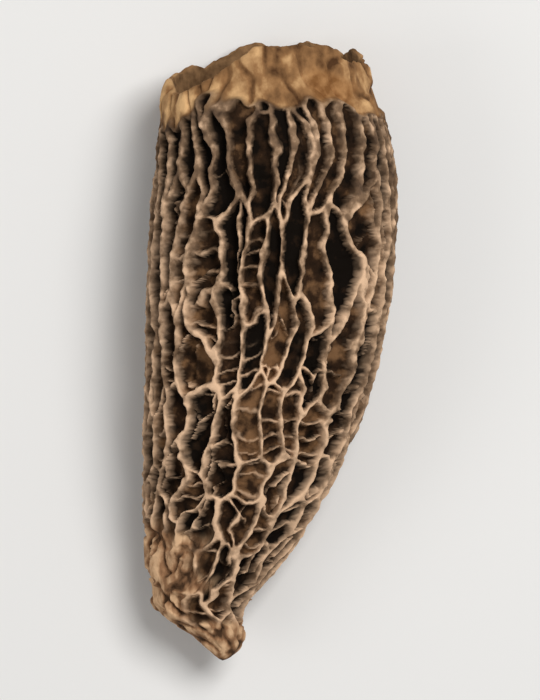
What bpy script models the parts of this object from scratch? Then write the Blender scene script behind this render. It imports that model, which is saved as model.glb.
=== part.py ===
"""Dried morel mushroom, lying on its side.

One hollow body, as it grew: a ridged honeycomb cap that tapers to a blunt tip, and the
torn collar of its stem around the mouth of the hollow. Metres, +Z up. The length runs
along Y with the stem at +Y, and the origin is at the middle of the bottom.
"""
import math
import random

import bpy
import numpy as np
from mathutils import noise

MM = 0.001

# Overall form
LENGTH = 41.6 * MM            # highest point of the torn rim to the tip
MAX_RADIUS = 8.3 * MM         # outer half width where the cap is widest
RIM_RADIUS = 6.6 * MM         # outer half width at the top of the rim
WIDEST_AT = 12.0 * MM         # distance of the widest section from the top of the rim
HOLLOW_RADIUS = 6.5 * MM      # inner half width where the cap is widest
HOLLOW_RIM_RADIUS = 5.7 * MM
TIP_WALL = 2.2 * MM           # flesh between the end of the hollow and the tip
FLATNESS = 0.86               # height of a section divided by its width

# How the radius falls away from the widest section
SHOULDER_POWER = 1.6
HOLLOW_SHOULDER_POWER = 2.2
TAPER_POWER = 2.3
BLUNTNESS = 0.7

# Bend of the length, and how it lies on the surface below it
BEND = 7.0 * MM               # sideways, growing with a power of the distance
BEND_POWER = 3.0
TIP_HOOK = 3.4 * MM           # back the other way, over the last stretch
HOOK_STARTS = 0.90            # as a fraction of the length
RIM_SHIFT = 0.6 * MM          # sideways the same way as the bend, at the rim
RIM_SHIFT_REACH = 9.0 * MM
STEM_HEIGHT = 6.6 * MM        # centre of the rim above the surface
TIP_HEIGHT = 4.4 * MM         # tip above the surface
STEM_LIFT_REACH = 8.0 * MM
TIP_LIFT_STARTS = 25.0 * MM
PRESSED = 0.3 * MM            # how far the underside is pressed flat by its own rest

# Torn rim: low at the left, a little low at the right, ragged all round
RIM_DIPS = (                  # depth, middle and width of each
    (2.3 * MM, math.radians(137), math.radians(36)),
    (2.2 * MM, math.radians(185), math.radians(52)),
    (1.5 * MM, math.radians(15), math.radians(38)))
RIM_RAGGED = 0.28 * MM
RIM_REACH = 13.0 * MM         # the tear's slant has faded out this far down
LIP_ROUND = 0.25 * MM

# Collar of bare stem between the rim and the ridges
COLLAR_LENGTH = 4.3 * MM
COLLAR_FADE = 1.4 * MM
COLLAR_INSET = 0.35 * MM

# Honeycomb
RIDGES = 20                   # lengthwise ridges round the cap
STEPS_PER_RIDGE = 4
PIT_DEPTH = 1.0 * MM
PIT_SHAPE = (0.0, 0.85, 1.0, 0.85)   # depth across one pit, from a ridge to the next
PITS_ALONG = 8.5              # pits from collar to tip in one row
PIT_CROWDING = 1.5            # above 1, pits get shorter towards the tip
RIB_DEPTH = 0.25              # how far a cross rib stays below the ridges, over PIT_DEPTH
TIP_SMOOTH = 3.0 * MM         # the ridges fade out over this last stretch
WANDER = 0.16                 # sideways wander of the ridges, in radians
LUMPS = 0.28 * MM             # slow unevenness of the whole form
LUMP_SIZE = 7.0 * MM

OUTER_ROWS = 40
INNER_ROWS = 12
STEPS = RIDGES * STEPS_PER_RIDGE
SEED = 7

CAP_COLOUR = (0.075, 0.042, 0.023, 1.0)
STEM_COLOUR = (0.42, 0.27, 0.13, 1.0)
ROUGHNESS = 0.85


def clear_scene():
    """Take every object out of the open scene."""
    for item in list(bpy.data.objects):
        bpy.data.objects.remove(item, do_unlink=True)


def make_material(name, colour):
    """Return a dry, matt material."""
    material = bpy.data.materials.new(name)
    material.use_nodes = True
    shader = material.node_tree.nodes["Principled BSDF"]
    shader.inputs["Base Color"].default_value = colour
    shader.inputs["Roughness"].default_value = ROUGHNESS
    shader.inputs["Metallic"].default_value = 0.0
    return material


def smooth_step(low, high, value):
    """Rise smoothly from 0 at low to 1 at high."""
    x = np.clip((value - low) / (high - low), 0.0, 1.0)
    return x * x * (3.0 - 2.0 * x)


def swept_radius(s, rim, widest, power, end):
    """Return the half width at distance s from the rim, for a form that closes at end."""
    shoulder = np.clip((WIDEST_AT - s) / WIDEST_AT, 0.0, None)
    taper = np.clip((s - WIDEST_AT) / (end - WIDEST_AT), 0.0, 1.0)
    upper = widest - (widest - rim) * shoulder**power
    return np.where(s < WIDEST_AT, upper, widest * (1.0 - taper**TAPER_POWER) ** BLUNTNESS)


def outer_radius(s):
    """Return the half width over the ridges."""
    return swept_radius(s, RIM_RADIUS, MAX_RADIUS, SHOULDER_POWER, LENGTH)


def hollow_radius(s):
    """Return the half width of the hollow."""
    end = LENGTH - TIP_WALL
    return swept_radius(s, HOLLOW_RIM_RADIUS, HOLLOW_RADIUS, HOLLOW_SHOULDER_POWER, end)


def make_turned_shell():
    """Turn the wall's section about Z, stem up: up the hollow, over the lip, down the outside."""
    outer_share = np.linspace(0.0, 1.0, OUTER_ROWS + 1)
    outer_rows = LENGTH * (0.6 * outer_share + 0.4 * np.sin(outer_share * math.pi / 2))
    inner_share = np.linspace(1.0, 0.0, INNER_ROWS + 1)
    inner_rows = (LENGTH - TIP_WALL) * np.sin(inner_share * math.pi / 2)
    lip_radius = (outer_radius(-LIP_ROUND) + hollow_radius(-LIP_ROUND)) / 2

    profile = [(radius, 0.0, -s) for s, radius in zip(inner_rows, hollow_radius(inner_rows))]
    profile.append((lip_radius, 0.0, LIP_ROUND))
    profile.extend((radius, 0.0, -s) for s, radius in zip(outer_rows, outer_radius(outer_rows)))

    mesh = bpy.data.meshes.new("wall_section")
    edges = [(i, i + 1) for i in range(len(profile) - 1)]
    mesh.from_pydata(profile, edges, [])
    section = bpy.data.objects.new("wall_section", mesh)
    bpy.context.scene.collection.objects.link(section)

    screw = section.modifiers.new("turn", "SCREW")
    screw.axis = "Z"
    screw.steps = STEPS
    screw.render_steps = STEPS
    screw.use_merge_vertices = True
    screw.merge_threshold = 0.00001
    bpy.context.view_layer.update()

    evaluated = section.evaluated_get(bpy.context.evaluated_depsgraph_get())
    shell = bpy.data.meshes.new_from_object(evaluated)
    bpy.data.objects.remove(section, do_unlink=True)
    return shell


def rim_line(angle):
    """Return how far the torn rim lies below its highest point, at each angle."""
    low = RIM_RAGGED * (1.0 + 0.5 * np.sin(5 * angle + 0.6) + 0.5 * np.sin(9 * angle + 2.1))
    for depth, middle, width in RIM_DIPS:
        turn = np.angle(np.exp(1j * (angle - middle)))
        low = low + depth * np.exp(-((turn / width) ** 2))
    return low


def pit_depth(column, s):
    """Return how deep the surface lies at each vertex column and distance, from 0 to 1.

    Ridges run along every STEPS_PER_RIDGE-th column. Cross ribs join neighbouring ridges
    at places that differ from row to row of pits.
    """
    draw = random.Random(SEED)
    offsets = np.array([draw.random() for _ in range(RIDGES)])
    across = np.array(PIT_SHAPE)[column % STEPS_PER_RIDGE]
    phase = PITS_ALONG * (s / LENGTH) ** PIT_CROWDING + offsets[column // STEPS_PER_RIDGE]
    row_gap = LENGTH / OUTER_ROWS
    phase_per_row = PITS_ALONG * PIT_CROWDING * (s / LENGTH) ** (PIT_CROWDING - 1.0) * row_gap / LENGTH
    on_rib = np.mod(phase, 1.0) < phase_per_row
    return np.where(on_rib, np.minimum(across, RIB_DEPTH), across)


def slow_noise(points, size, seed):
    """Return smooth noise from -1 to 1 at each point."""
    return np.array([noise.noise((x / size + seed, y / size, z / size)) for x, y, z in points])


def grow(shell):
    """Move the turned shell's vertices to the mushroom's grown and dried form."""
    points = np.empty(len(shell.vertices) * 3)
    shell.vertices.foreach_get("co", points)
    points = points.reshape(-1, 3)

    s = -points[:, 2]
    angle = np.arctan2(-points[:, 1], points[:, 0])
    radius = np.hypot(points[:, 0], points[:, 1])
    wall = np.maximum(outer_radius(s) - hollow_radius(s), 0.1 * MM)
    inward = np.clip((outer_radius(s) - radius) / wall, 0.0, 1.0)
    inward = np.where(s > LENGTH - TIP_WALL + 0.01 * MM, 0.0, inward)
    outside = 1.0 - inward

    column = np.mod(np.rint(angle / math.tau * STEPS).astype(int), STEPS)
    pits = pit_depth(column, np.clip(s, 0.0, LENGTH))
    rim = rim_line(angle)
    s = s + rim * np.clip(1.0 - s / RIM_REACH, 0.0, None)

    collar_end = COLLAR_LENGTH + 0.4 * rim
    ridged = smooth_step(collar_end - COLLAR_FADE, collar_end, s)
    ridged = ridged * (1.0 - smooth_step(LENGTH - TIP_SMOOTH, LENGTH, s))
    depth = PIT_DEPTH * ridged * pits
    depth = depth + COLLAR_INSET * (1.0 - smooth_step(collar_end - COLLAR_FADE, collar_end, s))
    on_axis = radius < 0.01 * MM
    reach = (1.0 - inward) * outer_radius(s) + inward * hollow_radius(s) - outside * depth
    reach = np.where(on_axis, 0.0, reach)
    reach = reach + np.where(on_axis, 0.0, LUMPS * slow_noise(points, LUMP_SIZE, 3.0))
    wander = WANDER * slow_noise(points, LUMP_SIZE, 11.0)
    wander = wander * smooth_step(0.0, RIM_REACH, s)

    share = np.clip(s / LENGTH, 0.0, 1.0)
    middle_x = TIP_HOOK * smooth_step(HOOK_STARTS, 1.0, share) - BEND * share**BEND_POWER
    middle_x = middle_x - RIM_SHIFT * (1.0 - smooth_step(0.0, RIM_SHIFT_REACH, s))
    resting = FLATNESS * outer_radius(s) - PRESSED
    stem_lift = 1.0 - smooth_step(0.0, STEM_LIFT_REACH, s)
    tip_lift = smooth_step(TIP_LIFT_STARTS, LENGTH, s)
    middle_z = resting + (STEM_HEIGHT - resting) * stem_lift + (TIP_HEIGHT - resting) * tip_lift

    x = middle_x + reach * np.cos(angle + wander)
    y = -s
    z = np.maximum(middle_z + FLATNESS * reach * np.sin(angle + wander), 0.0)
    x = x - (x.max() + x.min()) / 2
    y = y - (y.max() + y.min()) / 2
    shell.vertices.foreach_set("co", np.stack((x, y, z), axis=1).ravel())
    shell.update()
    return s, outside, collar_end


def colour_collar(shell, s, outside, collar_end):
    """Give the faces of the bare stem its own material."""
    on_collar = (s < collar_end - COLLAR_FADE / 2) & (outside > 0.4)
    for face in shell.polygons:
        bare = all(on_collar[index] for index in face.vertices)
        face.material_index = 1 if bare else 0


def main():
    """Build the morel."""
    clear_scene()
    shell = make_turned_shell()
    shell.name = "morel"
    s, outside, collar_end = grow(shell)
    shell.materials.clear()
    shell.materials.append(make_material("dry_cap", CAP_COLOUR))
    shell.materials.append(make_material("bare_stem", STEM_COLOUR))
    colour_collar(shell, s, outside, collar_end)
    shell.shade_smooth()

    collection = bpy.data.collections.new("morel_mushroom")
    bpy.context.scene.collection.children.link(collection)
    collection.objects.link(bpy.data.objects.new("morel", shell))


main()
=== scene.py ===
"""Dried morel mushroom: its looks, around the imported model.

One mesh replaces the plain solid of the same size. Its outside is a network of thin
ridges around deep pits, its top is the torn collar of the stem, and its inside is the
wall of the hollow. Metres, +Z up, stem at +Y.

The surface is worked out unrolled: s runs along the length from the rim to the tip, and
the angle runs round it, from +X over the top to -X.
"""
import math
import random

import bpy
import numpy as np
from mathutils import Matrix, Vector, noise


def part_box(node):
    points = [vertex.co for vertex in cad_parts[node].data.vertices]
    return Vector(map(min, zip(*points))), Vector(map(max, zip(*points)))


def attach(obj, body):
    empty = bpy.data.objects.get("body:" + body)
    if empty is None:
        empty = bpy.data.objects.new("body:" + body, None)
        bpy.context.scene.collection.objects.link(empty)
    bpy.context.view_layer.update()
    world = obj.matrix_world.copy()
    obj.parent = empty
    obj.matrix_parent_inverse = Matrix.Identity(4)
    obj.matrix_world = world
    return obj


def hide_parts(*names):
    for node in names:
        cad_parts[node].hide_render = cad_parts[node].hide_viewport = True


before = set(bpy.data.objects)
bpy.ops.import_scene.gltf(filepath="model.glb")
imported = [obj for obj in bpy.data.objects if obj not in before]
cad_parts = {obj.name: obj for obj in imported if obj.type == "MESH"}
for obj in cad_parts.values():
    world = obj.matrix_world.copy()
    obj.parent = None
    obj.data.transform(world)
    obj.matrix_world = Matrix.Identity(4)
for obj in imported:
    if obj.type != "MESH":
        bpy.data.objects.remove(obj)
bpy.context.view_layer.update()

MM = 0.001
NODE = "morel"
LOWEST, HIGHEST = (np.array(corner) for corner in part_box(NODE))

# Overall form, as in the solid
LENGTH = 41.6 * MM
MAX_RADIUS = 8.3 * MM
RIM_RADIUS = 6.6 * MM
WIDEST_AT = 12.0 * MM
HOLLOW_RADIUS = 6.5 * MM
HOLLOW_RIM_RADIUS = 5.7 * MM
TIP_WALL = 2.2 * MM
FLATNESS = 0.86
FLAT_GIRTH = 0.93             # the way round the flattened cap, as a share of a circle's
SHOULDER_POWER = 1.6
HOLLOW_SHOULDER_POWER = 2.2
TAPER_POWER = 2.3
BLUNTNESS = 0.7
BEND = 7.0 * MM
BEND_POWER = 3.0
TIP_HOOK = 3.4 * MM
HOOK_STARTS = 0.90
RIM_SHIFT = 0.6 * MM
RIM_SHIFT_REACH = 9.0 * MM
STEM_HEIGHT = 6.6 * MM
TIP_HEIGHT = 4.4 * MM
STEM_LIFT_REACH = 8.0 * MM
TIP_LIFT_STARTS = 25.0 * MM
PRESSED = 0.3 * MM
RIM_DIPS = (                  # depth, middle and width of each
    (2.3 * MM, math.radians(137), math.radians(36)),
    (2.2 * MM, math.radians(185), math.radians(52)),
    (1.5 * MM, math.radians(15), math.radians(38)))
RIM_RAGGED = 0.28 * MM
RIM_REACH = 13.0 * MM         # below this the torn rim no longer shifts the surface
COLLAR_LENGTH = 4.3 * MM

# Torn rim and wall
NOTCHES = 9
NOTCH_DEPTH = (0.15, 0.45)    # least and most, in mm
NOTCH_WIDTH = (0.04, 0.12)    # least and most, in radians
LIP_BULGE = 0.12 * MM
THINNEST_WALL = 0.22 * MM
LEAST_WALL_UNDER_PITS = 0.45 * MM
PIT_DEPTH = (0.3 * MM, 1.35 * MM)
DEEPEST_SHARE = 0.4           # of the half width, which keeps the tip from turning inside out

# Ridges. A graded size is its mm near the stem and near the tip, and where the change runs.
MAIN_WIDTH = (1.25, 1.75, 6.0, 17.0)
MAIN_LENGTH = (6.8, 2.4, 12.0, 34.0)
BRANCH_WIDTH = (1.25, 1.25, 8.0, 34.0)
BRANCH_LENGTH = (3.4, 1.5, 8.0, 34.0)
RUNG_STEP = 1.15 * MM
WANDER = ((7.0, 1.1), (2.6, 0.7), (1.1, 0.28), (0.45, 0.08), (0.2, 0.03))   # size, amount in mm
MAIN_CREST = (0.11 * MM, 0.24 * MM)          # half width and wall of each kind of ridge
MAIN_PALE = (0.12 * MM, 0.12 * MM)
BRANCH_CREST = (0.08 * MM, 0.22 * MM)
BRANCH_PALE = (0.10 * MM, 0.10 * MM)
RUNG_CREST = (0.05 * MM, 0.20 * MM)
RUNG_PALE = (0.07 * MM, 0.10 * MM)
BRANCH_HEIGHT, BRANCH_PALENESS = 0.88, 0.95
RUNG_HEIGHT, RUNG_PALENESS = 0.72, 0.7
BOWL_WIDTH, BOWL_HEIGHT = 0.9 * MM, 0.25

# Grid
COLUMNS = 560
OUTER_ROWS = 430
INNER_ROWS = 60
LIP_ROWS = 3
MOST_TRIANGLES = 190000

# Shading masks: one attribute of the mesh each
MASKS = ("crest", "tone", "bare", "inside", "lobe", "warm", "painted_light")

# Colours, as stops of linear red, green and blue along a ramp
CREST_COLOURS = (
    (0.50, (0.075, 0.045, 0.028)), (0.74, (0.24, 0.148, 0.086)), (1.0, (0.80, 0.53, 0.335)))
# The pits' own dark brown with painted shade: the near-black stops stand in for the shade down in
# the deep pits.
PIT_AND_SHADE_COLOURS = (
    (0.62, (0.005, 0.0028, 0.0014)), (0.82, (0.034, 0.0165, 0.0076)), (1.0, (0.20, 0.104, 0.047)))
STEM_COLOURS = (
    (0.45, (0.085, 0.038, 0.015)), (0.68, (0.31, 0.158, 0.064)), (0.92, (0.74, 0.45, 0.21)))
WARM_COLOURS = ((0.35, (0.22, 0.095, 0.03)), (0.65, (0.50, 0.26, 0.105)))
# The hollow's brown, darkened below its own pale cream-brown as painted shade inside the hollow.
HOLLOW_AND_SHADE_COLOURS = ((0.45, (0.075, 0.038, 0.017)), (0.85, (0.33, 0.185, 0.085)))
LOBE_COLOURS = (
    (0.40, (0.07, 0.036, 0.018)), (0.56, (0.31, 0.162, 0.080)), (0.74, (0.72, 0.46, 0.262)))

# Studio
FLOOR_REACH = 8.0
FLOOR_COLOUR = (0.85, 0.84, 0.82, 1.0)
SKY_STRENGTH = 0.28
LAMPS = (                     # name, place, size and power of each
    ("key", (0.09, 0.08, 0.26), 0.12, 0.58),
    ("fill", (-0.20, -0.06, 0.18), 0.15, 0.12))
LENS = 400.0                  # long, so that the view is nearly without perspective
HALF_SENSOR = 18.0
FRAME_MARGIN = 1.12
AIM_HEIGHT = 0.6              # of the mushroom's height

SEED = 20


def smooth_step(low, high, value):
    """Rise smoothly from 0 at low to 1 at high."""
    x = np.clip((value - low) / (high - low), 0.0, 1.0)
    return x * x * (3.0 - 2.0 * x)


def mix(low, high, share):
    """Blend from low to high."""
    return low + (high - low) * share


def graded(size, s):
    """Return a graded size, in metres, at distance s from the rim."""
    near_stem, near_tip, starts, ends = size
    return mix(near_stem, near_tip, smooth_step(starts * MM, ends * MM, s)) * MM


def noise_at(points, size, seed):
    """Return smooth noise from -1 to 1 at each point, with bumps of about the given size.

    Each use has a seed of its own, so that no two are alike.
    """
    moved = (points / size + seed).tolist()
    return np.fromiter((noise.noise(p) for p in moved), float, len(moved))


def drawn_out(points, share):
    """Shrink the points along the length, which makes noise read at them longer that way."""
    return points * np.array((1.0, 1.0, share))


def swell_at(angle, middle, width):
    """Return a smooth swell, 1 at its middle, that fades on both sides of it."""
    turn = np.angle(np.exp(1j * (angle - middle)))
    return np.exp(-((turn / width) ** 2))


def patch(angle, s, middle, width, place_s, length):
    """Return a soft patch, 1 at its middle. Its middle and width round the cap are in degrees."""
    swell = swell_at(angle, math.radians(middle), math.radians(width))
    return swell * np.exp(-(((s - place_s) / length) ** 2))


def swept_radius(s, rim, widest, power, end):
    """Return the half width at distance s from the rim, for a form that closes at end."""
    shoulder = np.clip((WIDEST_AT - s) / WIDEST_AT, 0.0, None)
    taper = np.clip((s - WIDEST_AT) / (end - WIDEST_AT), 0.0, 1.0)
    upper = widest - (widest - rim) * shoulder**power
    return np.where(s < WIDEST_AT, upper, widest * (1.0 - taper**TAPER_POWER) ** BLUNTNESS)


def outer_radius(s):
    """Return the half width over the ridges."""
    return swept_radius(s, RIM_RADIUS, MAX_RADIUS, SHOULDER_POWER, LENGTH)


def hollow_radius(s):
    """Return the half width of the hollow."""
    end = LENGTH - TIP_WALL
    return swept_radius(s, HOLLOW_RIM_RADIUS, HOLLOW_RADIUS, HOLLOW_SHOULDER_POWER, end)


def rim_line(angle):
    """Return how far the torn rim lies below its highest point, at each angle."""
    low = RIM_RAGGED * (1.0 + 0.5 * np.sin(5 * angle + 0.6) + 0.5 * np.sin(9 * angle + 2.1))
    for depth, middle, width in RIM_DIPS:
        low = low + depth * swell_at(angle, middle, width)
    return low


def on_cylinder(angle, s, radius):
    """Return points on a round form, so that noise read at them closes round the cap."""
    return np.stack((radius * np.cos(angle), radius * np.sin(angle), s), axis=1)


def scatter_cells(draw, start, width, length):
    """Scatter cell centres in rows from start to the tip, about width by length apart."""
    angles, distances = [], []
    s = start
    while s < LENGTH:
        around = math.tau * float(outer_radius(np.array(s))) * FLAT_GIRTH
        count = max(4, round(around / graded(width, s)))
        phase = draw.random()
        for i in range(count):
            angles.append(math.tau * (i + phase + draw.uniform(-0.33, 0.33)) / count)
            distances.append(s + graded(length, s) * draw.uniform(-0.4, 0.4))
        s += graded(length, s)
    return np.array(angles), np.array(distances)


def cell_edges(angle, s, radius, cells, width, length, nearest=6, chunk=15000):
    """Find the edges between cells near each point.

    Returns, for each point and each of its nearest edges, the distance to that edge, how
    much the edge runs along the length (0 to 1), and a random number of the edge's own,
    and for each point a random number of its cell's own.
    """
    cell_angle, cell_s = cells
    distance, along, edge_random, cell_random = [], [], [], []
    for start in range(0, len(angle), chunk):
        part = slice(start, start + chunk)
        cell_width = graded(width, s[part])[:, None]
        cell_length = graded(length, s[part])[:, None]
        turn = angle[part, None] - cell_angle[None, :]
        turn = turn - math.tau * np.rint(turn / math.tau)
        u = turn * radius[part, None] / cell_width
        v = (s[part, None] - cell_s[None, :]) / cell_length
        far = u * u + v * v
        close = np.argpartition(far, nearest, axis=1)[:, :nearest]
        rank = np.argsort(np.take_along_axis(far, close, axis=1), axis=1)
        close = np.take_along_axis(close, rank, axis=1)
        far = np.take_along_axis(far, close, axis=1)
        u = np.take_along_axis(u, close, axis=1)
        v = np.take_along_axis(v, close, axis=1)
        across_x = (u[:, 1:] - u[:, :1]) / cell_width
        across_s = (v[:, 1:] - v[:, :1]) / cell_length
        steep = np.hypot(across_x, across_s) + 1e-9
        distance.append((far[:, 1:] - far[:, :1]) / (2.0 * steep))
        along.append(np.abs(across_x) / steep)
        low = np.minimum(close[:, 1:], close[:, :1])
        high = np.maximum(close[:, 1:], close[:, :1])
        edge_random.append(np.mod(np.sin(low * 12.9898 + high * 78.233) * 43758.5453, 1.0))
        cell_random.append(np.mod(np.sin(close[:, 0] * 91.3458 + 4.1) * 47453.5453, 1.0))
    return (np.concatenate(distance), np.concatenate(along), np.concatenate(edge_random),
            np.concatenate(cell_random))


def warp(points, angle, s, radius):
    """Shift the unrolled surface to and fro, so that the ridges read on it wander."""
    shift_x = np.zeros(len(s))
    shift_s = np.zeros(len(s))
    for size, amount in WANDER:
        shift_x += amount * MM * noise_at(points, size * MM, 5.0 + size)
        shift_s += 1.4 * amount * MM * noise_at(points, size * MM, 55.0 + size)
    return angle + shift_x / np.maximum(radius, 1.0 * MM), s + shift_s


def soft_least(gaps, softness):
    """Return the least of each row, rounded off where two are about the same."""
    least = gaps.min(axis=1)
    return least - softness * np.log(np.exp((least[:, None] - gaps) / softness).sum(axis=1))


def ridge(gap, section, thickness):
    """Return a ridge's height from 0 to 1 at each point, from its distance to the nearest edge."""
    half_width = section[0] * thickness
    return 1.0 - smooth_step(half_width, half_width + section[1], gap)


def ridge_network(angle, s, radius, below_collar):
    """Return the ridges' height and paleness from 0 to 1, and each pit's random number."""
    draw = random.Random(SEED)
    points = on_cylinder(angle, s, radius)
    warped_angle, warped_s = warp(points, angle, s, radius)
    thickness = 1.0 + 0.45 * noise_at(points, 1.7 * MM, 31.0)
    thickness = thickness + 0.5 * noise_at(points, 0.55 * MM, 32.0)
    thickness = thickness * mix(1.0, 0.65, smooth_step(8 * MM, 22 * MM, s))

    # Main ridges, round every pit and along the collar. Those across the length are weaker.
    cells = scatter_cells(draw, 1.0 * MM, MAIN_WIDTH, MAIN_LENGTH)
    gap, along, chance, cell = cell_edges(
        warped_angle, warped_s, radius, cells, MAIN_WIDTH, MAIN_LENGTH)
    weakness = (1.0 - smooth_step(0.3, 0.8, along)) * mix(0.0, 0.12, chance) * MM
    gap = np.concatenate((gap + weakness, below_collar[:, None]), axis=1)
    gap = soft_least(gap, 0.09 * MM)
    main = ridge(gap, MAIN_CREST, thickness)
    main_pale = ridge(gap, MAIN_PALE, thickness)
    bowl = 1.0 - smooth_step(0.0, BOWL_WIDTH, gap)

    # Lower ridges, that divide some of the pits away from the stem
    cells = scatter_cells(draw, 2.0 * MM, BRANCH_WIDTH, BRANCH_LENGTH)
    gap, _, chance, _ = cell_edges(
        warped_angle, warped_s, radius, cells, BRANCH_WIDTH, BRANCH_LENGTH)
    gap = soft_least(gap + mix(0.0, 0.25, chance) * MM, 0.06 * MM)
    split = smooth_step(0.34, 0.38, cell) * (1.0 - smooth_step(0.74, 0.78, cell))
    frayed_s = s + 3 * MM * noise_at(points, 3.0 * MM, 37.0)
    split = split * smooth_step(7 * MM, 13 * MM, frayed_s)
    branch = BRANCH_HEIGHT * split * ridge(gap, BRANCH_CREST, thickness)
    branch_pale = BRANCH_PALENESS * split * ridge(gap, BRANCH_PALE, thickness)

    # Ladders of small rungs across other pits
    laddered = smooth_step(0.76, 0.80, cell) * smooth_step(12 * MM, 15 * MM, s)
    low_ladders = (1.0 - smooth_step(0.12, 0.16, cell)) * smooth_step(20 * MM, 22 * MM, s)
    laddered = laddered + low_ladders
    gap = RUNG_STEP * np.abs(np.mod(warped_s / RUNG_STEP + 7.0 * cell, 1.0) - 0.5)
    rung = RUNG_HEIGHT * laddered * ridge(gap, RUNG_CREST, thickness)
    rung_pale = RUNG_PALENESS * laddered * ridge(gap, RUNG_PALE, thickness)

    height = np.maximum(np.maximum(main, branch), rung)
    pale = np.maximum(np.maximum(main_pale, branch_pale), rung_pale)
    return np.maximum(height, BOWL_HEIGHT * bowl), pale, cell


def collar_edge(angle, points):
    """Return how far from the rim's highest point the smooth collar ends."""
    edge = COLLAR_LENGTH + 0.5 * rim_line(angle)
    edge = edge + 0.9 * MM * noise_at(points, 3.0 * MM, 71.0)
    edge = edge + 0.8 * MM * noise_at(points, 1.1 * MM, 72.0)
    return edge - 1.4 * MM * swell_at(angle, math.radians(118), math.radians(24))


def lobe_share(angle, s, points):
    """Return where the coarse lobe is, from 0 to 1: on one side of the tip and over its end."""
    lobe = 1.5 * patch(angle, s, 155, 62, 36.8 * MM, 5.0 * MM)
    lobe = np.maximum(lobe, 1.5 * smooth_step(37.5 * MM, 40.5 * MM, s))
    return smooth_step(0.4, 0.9, lobe + 0.45 * noise_at(points, 1.5 * MM, 73.0))


def pit_depth(s, radius, points, height, cell, knob):
    """Return how deep the surface lies among the ridges."""
    least, most = PIT_DEPTH
    room = np.clip(radius - hollow_radius(s) - LEAST_WALL_UNDER_PITS, least, most)
    blunt = 1.0 - 0.5 * smooth_step(LENGTH - 5.0 * MM, LENGTH, s)
    floor = mix(0.75, 1.0, cell)
    wrinkle = 0.10 * MM * noise_at(drawn_out(points, 2.0), 0.7 * MM, 44.0)
    wrinkle = wrinkle + 0.05 * MM * noise_at(points, 0.3 * MM, 45.0)
    dips = np.clip(noise_at(points, 1.6 * MM, 41.0), 0.0, 1.0)
    crest = (0.25 * dips - 0.12 * knob) * MM
    return room * blunt * floor * (1.0 - height) + wrinkle * (1.0 - height) + crest * height


def lobe_relief(radius, points, pit):
    """Return how deep the surface lies on the coarse lobe, and where its fold lines are."""
    folds = noise_at(drawn_out(points, 0.45), 1.1 * MM, 46.0)
    fold_lines = 1.0 - smooth_step(0.0, 0.30, np.abs(folds))
    coarse = (-0.10 + 0.55 * np.clip(0.2 - folds, 0.0, 1.0) + 0.45 * fold_lines) * MM
    big_lumps = noise_at(points, 1.8 * MM, 48.0)
    small_lumps = noise_at(points, 0.6 * MM, 47.0)
    coarse = coarse + (0.30 * big_lumps + 0.14 * small_lumps) * MM
    coarse = np.clip(0.22 * pit + coarse, 0.0, None) * smooth_step(0.0, 3.0 * MM, radius)
    return coarse, fold_lines


def collar_relief(angle, s, points, lumps):
    """Return how deep the surface lies on the creased collar, and its tone there, which holds
    painted shade and a painted highlight.
    """
    folds = noise_at(drawn_out(points, 0.5), 1.5 * MM, 61.0)
    fine_folds = noise_at(drawn_out(points, 0.6), 0.5 * MM, 63.0)
    crease = 1.0 - smooth_step(0.0, 0.22, np.abs(folds))
    lip = patch(angle, s - rim_line(angle), 165, 45, 1.4 * MM, 1.3 * MM)
    collar = (0.38 + 0.26 * crease + 0.08 * fine_folds + 0.36 * lumps - 0.40 * lip) * MM
    # Painted shade darkens the creases and the dips between the lumps, and a painted highlight
    # lightens the rolled lip that stands out.
    tone = 0.55 + 0.35 * fine_folds - 0.45 * crease - 0.35 * lumps + 0.8 * lip
    return collar, tone


def outer_surface(angle, s):
    """Return how far the outside lies inside its envelope, its ridges' height, and the masks."""
    radius = outer_radius(s)
    points = on_cylinder(angle, s, radius)
    below = s - collar_edge(angle, points)
    ridged = smooth_step(-0.3 * MM, 0.3 * MM, below)
    height, pale, cell = ridge_network(angle, s, radius, below)
    knob = noise_at(points, 0.42 * MM, 43.0)
    lumps = noise_at(points, 2.2 * MM, 62.0)
    lobe = lobe_share(angle, s, points)

    pit = pit_depth(s, radius, points, height, cell, knob)
    coarse, fold_lines = lobe_relief(radius, points, pit)
    collar, collar_tone_and_light = collar_relief(angle, s, points, lumps)
    sunk = mix(collar, mix(pit, coarse, lobe), ridged)
    sunk = np.minimum(sunk, DEEPEST_SHARE * radius)

    lower = smooth_step(9.0 * MM, 24.0 * MM, s)
    # Pits' tone: random for each pit, and paler towards the tip.
    pit_tone = np.mod(7.31 * cell, 1.0) + 0.35 * lower
    pit_tone = pit_tone + 0.5 * noise_at(points, 0.9 * MM, 49.0) - 0.15
    tone = mix(collar_tone_and_light, pit_tone, ridged)
    warm = smooth_step(0.35, 0.8, patch(angle, s, 55, 24, 3.4 * MM, 1.3 * MM) + 0.5 * lumps)
    # Painted light: a painted highlight on the raised knobs of the crests, paler towards the tip,
    # painted shade in the lobe's sunk fold lines, and a painted pool of light over the top of the
    # cap's lower half.
    painted_light = 0.2 * knob + 0.15 * lower - 0.40 * lobe * (fold_lines - 0.35)
    painted_light = painted_light + 0.09 * patch(angle, s, 90, 40, 26.0 * MM, 14.0 * MM)
    bare = 1.0 - ridged
    inside = np.zeros(len(s))
    masks = (pale * ridged, tone, bare, inside, lobe * ridged, warm * bare, painted_light)
    return sunk, height * ridged, np.stack(masks, axis=1)


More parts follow.
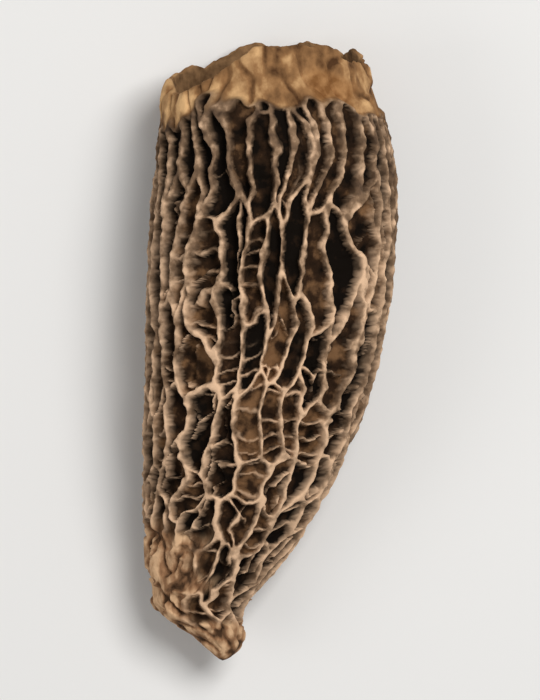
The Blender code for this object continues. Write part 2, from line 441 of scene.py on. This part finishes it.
def place(angle, s, reach):
    """Return the points at these angles and distances, this far out from the bent middle line."""
    share = np.clip(s / LENGTH, 0.0, 1.0)
    middle_x = TIP_HOOK * smooth_step(HOOK_STARTS, 1.0, share) - BEND * share**BEND_POWER
    middle_x = middle_x - RIM_SHIFT * (1.0 - smooth_step(0.0, RIM_SHIFT_REACH, s))
    resting = FLATNESS * outer_radius(s) - PRESSED
    stem_lift = 1.0 - smooth_step(0.0, STEM_LIFT_REACH, s)
    tip_lift = smooth_step(TIP_LIFT_STARTS, LENGTH, s)
    middle_z = resting + (STEM_HEIGHT - resting) * stem_lift + (TIP_HEIGHT - resting) * tip_lift
    x = middle_x + reach * np.cos(angle)
    z = np.maximum(middle_z + FLATNESS * reach * np.sin(angle), 0.0)
    return np.stack((x, -s, z), axis=1)


def tear(angle, s):
    """Slide the rows of the grid down to the torn rim, less and less further down."""
    points = on_cylinder(angle, 0.0 * s, RIM_RADIUS)
    nicks = 0.25 * MM * noise_at(points, 1.3 * MM, 81.0)
    nicks = nicks + 0.10 * MM * noise_at(points, 0.4 * MM, 82.0)
    draw = random.Random(SEED)
    for _ in range(NOTCHES):
        turn = np.angle(np.exp(1j * (angle - draw.uniform(0.0, math.tau))))
        depth = draw.uniform(*NOTCH_DEPTH) * MM
        nicks = nicks + depth * np.exp(-np.abs(turn / draw.uniform(*NOTCH_WIDTH)))
    return s + (rim_line(angle) + nicks) * np.clip(1.0 - s / RIM_REACH, 0.0, None)


def outer_rows(turn):
    """Return the points and masks of the outside, from the rim down."""
    share = np.linspace(0.0, 1.0, OUTER_ROWS, endpoint=False)
    rows = LENGTH * mix(share, np.sin(share * math.pi / 2), 0.25)
    angle = np.tile(turn, OUTER_ROWS)
    s = tear(angle, np.repeat(rows, COLUMNS))
    radius = outer_radius(s)
    sunk, height, masks = outer_surface(angle, s)
    lean = 0.5 * MM * noise_at(on_cylinder(angle, s, radius), 4.0 * MM, 91.0)
    reach = radius - sunk
    leaned = angle + lean * height / np.maximum(reach, 1.0 * MM)
    return place(leaned, s, reach), masks


def inner_rows(turn):
    """Return the points and masks of the hollow's wall, from the rim down."""
    share = np.linspace(0.0, 1.0, INNER_ROWS, endpoint=False)
    rows = (LENGTH - TIP_WALL) * np.sin(share * math.pi / 2)
    angle = np.tile(turn, INNER_ROWS)
    s = tear(angle, np.repeat(rows, COLUMNS))
    points = on_cylinder(angle, s, hollow_radius(s))
    folds = noise_at(drawn_out(points, 0.35), 1.3 * MM, 96.0)
    grains = noise_at(points, 0.6 * MM, 97.0)
    near_rim = 1.0 - smooth_step(0.0, 3.0 * MM, s - rim_line(angle))
    swell = 0.15 * noise_at(points, 2.4 * MM, 95.0) + 0.14 * folds + 0.06 * grains
    swell = swell + near_rim * (0.25 + 0.35 * noise_at(points, 3.4 * MM, 98.0))
    thickest = outer_radius(s) - outer_surface(angle, s)[0] - THINNEST_WALL
    reach = np.minimum(hollow_radius(s) + swell * MM, thickest)
    zero = np.zeros(len(s))
    one = np.ones(len(s))
    masks = (zero, 0.5 + 0.5 * grains, one, one, zero, zero, grains)
    return place(angle, s, reach), np.stack(masks, axis=1)


def from_tip(rows):
    """Turn the rows of the outside round, so that they run from the tip to the rim."""
    return rows.reshape(OUTER_ROWS, COLUMNS, -1)[::-1].reshape(OUTER_ROWS * COLUMNS, -1)


def make_mesh():
    """Build the closed surface: outside from tip to rim, then lip, then the hollow's wall."""
    turn = np.linspace(0.0, math.tau, COLUMNS, endpoint=False)
    outer, outer_masks = outer_rows(turn)
    inner, inner_masks = inner_rows(turn)
    tip = place(np.zeros(1), np.array([LENGTH]), np.zeros(1))
    end = place(np.zeros(1), np.array([LENGTH - TIP_WALL]), np.zeros(1))
    blocks = [tip, from_tip(outer)]
    mask_blocks = [outer_masks[-1:], from_tip(outer_masks)]
    for row in range(1, LIP_ROWS + 1):
        part = row / (LIP_ROWS + 1)
        ring = mix(outer[:COLUMNS], inner[:COLUMNS], part)
        ring[:, 1] += LIP_BULGE * math.sin(math.pi * part)
        blocks.append(ring)
        mask_blocks.append(mix(outer_masks[:COLUMNS], inner_masks[:COLUMNS], 0.5 * part))
    blocks.extend((inner, end))
    mask_blocks.extend((inner_masks, inner_masks[-1:]))
    points = np.concatenate(blocks)
    masks = np.concatenate(mask_blocks)

    rows = OUTER_ROWS + LIP_ROWS + INNER_ROWS
    index = np.arange(rows * COLUMNS).reshape(rows, COLUMNS) + 1
    after = np.roll(index, -1, axis=1)
    quads = np.stack((index[:-1], index[1:], after[1:], after[:-1]), axis=-1).reshape(-1, 4)
    last = len(points) - 1
    start_fan = np.stack((np.zeros(COLUMNS, int), index[0], after[0]), axis=1)
    end_fan = np.stack((index[-1], np.full(COLUMNS, last), after[-1]), axis=1)
    faces = start_fan.tolist() + quads.tolist() + end_fan.tolist()

    points[:, 0] -= (points[:, 0].max() + points[:, 0].min()) / 2
    points[:, 1] -= (points[:, 1].max() + points[:, 1].min()) / 2

    mesh = bpy.data.meshes.new("morel_flesh")
    mesh.from_pydata(points.tolist(), [], faces)
    for column, name in enumerate(MASKS):
        layer = mesh.attributes.new(name, "FLOAT", "POINT")
        layer.data.foreach_set("value", masks[:, column].astype(np.float32))
    add_bake_map(mesh, rows)
    mesh.shade_smooth()
    return mesh


def add_bake_map(mesh, rows):
    """Lay the surface out flat, turned once round, as the UV map OFBake."""
    layer = mesh.uv_layers.new(name="OFBake")
    corners = np.empty(len(mesh.loops), np.int32)
    mesh.loops.foreach_get("vertex_index", corners)
    total = np.empty(len(mesh.polygons), np.int32)
    mesh.polygons.foreach_get("loop_total", total)
    row = np.clip((corners - 1) // COLUMNS, 0, rows - 1)
    column = np.where(corners == 0, 0, (corners - 1) % COLUMNS).astype(float)
    face = np.repeat(np.arange(len(total)), total)
    wraps = np.zeros(len(total), bool)
    np.logical_or.at(wraps, face, column == COLUMNS - 1)
    column = np.where(wraps[face] & (column == 0), COLUMNS, column)
    margin = 0.002
    across = margin + (1.0 - 2 * margin) * column / COLUMNS
    down = margin + (1.0 - 2 * margin) * row / (rows - 1)
    layer.uv.foreach_set("vector", np.stack((across, down), axis=1).astype(np.float32).ravel())


def thin_out(mesh):
    """Drop the vertices that the shape needs least."""
    morel = bpy.data.objects.new("thinning", mesh)
    bpy.context.scene.collection.objects.link(morel)
    triangles = sum(len(face.vertices) - 2 for face in mesh.polygons)
    decimate = morel.modifiers.new("thin_out", "DECIMATE")
    decimate.ratio = MOST_TRIANGLES / triangles
    bpy.context.view_layer.update()
    evaluated = morel.evaluated_get(bpy.context.evaluated_depsgraph_get())
    thinned = bpy.data.meshes.new_from_object(evaluated)
    bpy.data.objects.remove(morel)
    thinned.shade_smooth()
    return thinned


def flesh_material():
    """Return the dried flesh: dark pits, paler crests, tan stem and brown hollow, with painted
    shade in the pits, creases and hollow, and painted highlights on the crests, beads and lip.
    """
    material = bpy.data.materials.new("dried_flesh")
    material.use_nodes = True
    tree = material.node_tree
    nodes = tree.nodes
    link = tree.links.new
    shader = nodes["Principled BSDF"]
    shader.inputs["Roughness"].default_value = 0.9
    shader.inputs["Specular IOR Level"].default_value = 0.1
    where = nodes.new("ShaderNodeTexCoord").outputs["Object"]

    def attribute(name):
        """Read one of the mesh's masks."""
        node = nodes.new("ShaderNodeAttribute")
        node.attribute_name = name
        return node.outputs["Fac"]

    def ramp(source, stops):
        """Turn a value into a colour."""
        node = nodes.new("ShaderNodeValToRGB")
        elements = node.color_ramp.elements
        while len(elements) < len(stops):
            elements.new(0.5)
        for element, (position, colour) in zip(elements, stops):
            element.position = position
            element.color = (*colour, 1.0)
        link(source, node.inputs["Fac"])
        return node.outputs["Color"]

    def blend(share, low, high):
        """Blend from one colour to another."""
        node = nodes.new("ShaderNodeMix")
        node.data_type = "RGBA"
        link(share, node.inputs["Factor"])
        link(low, node.inputs[6])
        link(high, node.inputs[7])
        return node.outputs[2]

    def mottle(size, detail, seed, stretch=1.0):
        """Return noise with spots of a size in mm, drawn out along the length by stretch."""
        squeezed = nodes.new("ShaderNodeVectorMath")
        squeezed.operation = "MULTIPLY"
        squeezed.inputs[1].default_value = (1.0, 1.0 / stretch, 1.0)
        link(where, squeezed.inputs[0])
        node = nodes.new("ShaderNodeTexNoise")
        node.noise_dimensions = "4D"
        node.inputs["W"].default_value = seed
        node.inputs["Scale"].default_value = 1.0 / (size * MM)
        node.inputs["Detail"].default_value = detail
        link(squeezed.outputs["Vector"], node.inputs["Vector"])
        return node.outputs["Fac"]

    def plus(first, second, factor):
        """Add the second value, times a factor, to the first."""
        node = nodes.new("ShaderNodeMath")
        node.operation = "MULTIPLY_ADD"
        node.inputs[1].default_value = factor
        link(second, node.inputs[0])
        link(first, node.inputs[2])
        return node.outputs["Value"]

    # Crest colour: mottling plus the painted light of the mask, which gives painted highlights on
    # the beads and the cap's top.
    crest_light_and_mottle = plus(plus(mottle(0.8, 5.0, 1.0), attribute("painted_light"), 1.0), mottle(7.0, 1.0, 7.0), 0.5)
    crest = ramp(crest_light_and_mottle, CREST_COLOURS)
    # Pit colour: dark brown, darkened to near-black as painted shade in the deep pits.
    pit = ramp(plus(mottle(1.0, 5.0, 2.0), attribute("tone"), 0.35), PIT_AND_SHADE_COLOURS)
    stem = ramp(plus(mottle(1.1, 6.0, 3.0, 1.2), attribute("tone"), 0.35), STEM_COLOURS)
    orange = ramp(mottle(0.9, 4.0, 8.0), WARM_COLOURS)
    # Hollow colour: brown with painted shade inside the hollow.
    hollow = ramp(plus(mottle(0.8, 5.0, 4.0), attribute("tone"), 0.3), HOLLOW_AND_SHADE_COLOURS)
    # The lobe's colour takes the same painted light: painted shade in its fold lines, paler
    # between them.
    lobe = ramp(plus(mottle(0.8, 4.0, 6.0, 2.5), attribute("painted_light"), 0.6), LOBE_COLOURS)
    cap = blend(attribute("crest"), pit, crest)
    cap = blend(attribute("lobe"), cap, lobe)
    stem = blend(attribute("warm"), stem, orange)
    outside = blend(attribute("bare"), cap, stem)
    link(blend(attribute("inside"), outside, hollow), shader.inputs["Base Color"])

    bump = nodes.new("ShaderNodeBump")
    bump.inputs["Strength"].default_value = 0.5
    bump.inputs["Distance"].default_value = 0.1 * MM
    link(mottle(0.25, 6.0, 5.0), bump.inputs["Height"])
    link(bump.outputs["Normal"], shader.inputs["Normal"])
    return material


def make_floor():
    """Add the plain pale floor."""
    mesh = bpy.data.meshes.new("floor")
    low, high = -FLOOR_REACH, FLOOR_REACH
    corners = [(low, low, 0), (high, low, 0), (high, high, 0), (low, high, 0)]
    mesh.from_pydata(corners, [], [(0, 1, 2, 3)])
    material = bpy.data.materials.new("pale_floor")
    material.use_nodes = True
    shader = material.node_tree.nodes["Principled BSDF"]
    shader.inputs["Base Color"].default_value = FLOOR_COLOUR
    shader.inputs["Roughness"].default_value = 0.9
    mesh.materials.append(material)
    floor = bpy.data.objects.new("floor", mesh)
    bpy.context.scene.collection.objects.link(floor)


def make_lights():
    """Add the soft lamps, which point at the mushroom, and the white sky."""
    for name, spot, size, power in LAMPS:
        lamp = bpy.data.lights.new(name, "AREA")
        lamp.size = size
        lamp.energy = power
        item = bpy.data.objects.new(name, lamp)
        item.location = spot
        item.rotation_euler = (-Vector(spot)).to_track_quat("-Z", "Y").to_euler()
        bpy.context.scene.collection.objects.link(item)
    world = bpy.data.worlds.new("studio")
    world.use_nodes = True
    sky = world.node_tree.nodes["Background"]
    sky.inputs["Color"].default_value = (1.0, 1.0, 1.0, 1.0)
    sky.inputs["Strength"].default_value = SKY_STRENGTH
    bpy.context.scene.world = world
    bpy.context.scene.view_settings.view_transform = "Standard"


def make_camera():
    """Add the camera, which looks straight down."""
    camera = bpy.data.cameras.new("camera")
    camera.lens = LENS
    camera.clip_start = 0.01
    camera.clip_end = 10.0
    view = bpy.data.objects.new("camera", camera)
    middle = (LOWEST + HIGHEST) / 2
    frame_height = FRAME_MARGIN * (HIGHEST[1] - LOWEST[1])
    distance = frame_height / 2 / math.tan(math.atan(HALF_SENSOR / LENS))
    view.location = (middle[0], middle[1], HIGHEST[2] * AIM_HEIGHT + distance)
    bpy.context.scene.collection.objects.link(view)
    bpy.context.scene.camera = view


def main():
    """Build the morel and its studio."""
    mesh = thin_out(make_mesh())
    mesh.name = "morel_flesh"
    mesh.materials.clear()
    mesh.materials.append(flesh_material())
    morel = bpy.data.objects.new("morel_flesh", mesh)
    bpy.context.scene.collection.objects.link(morel)
    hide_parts(NODE)
    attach(morel, "root")
    make_floor()
    make_lights()
    make_camera()


main()
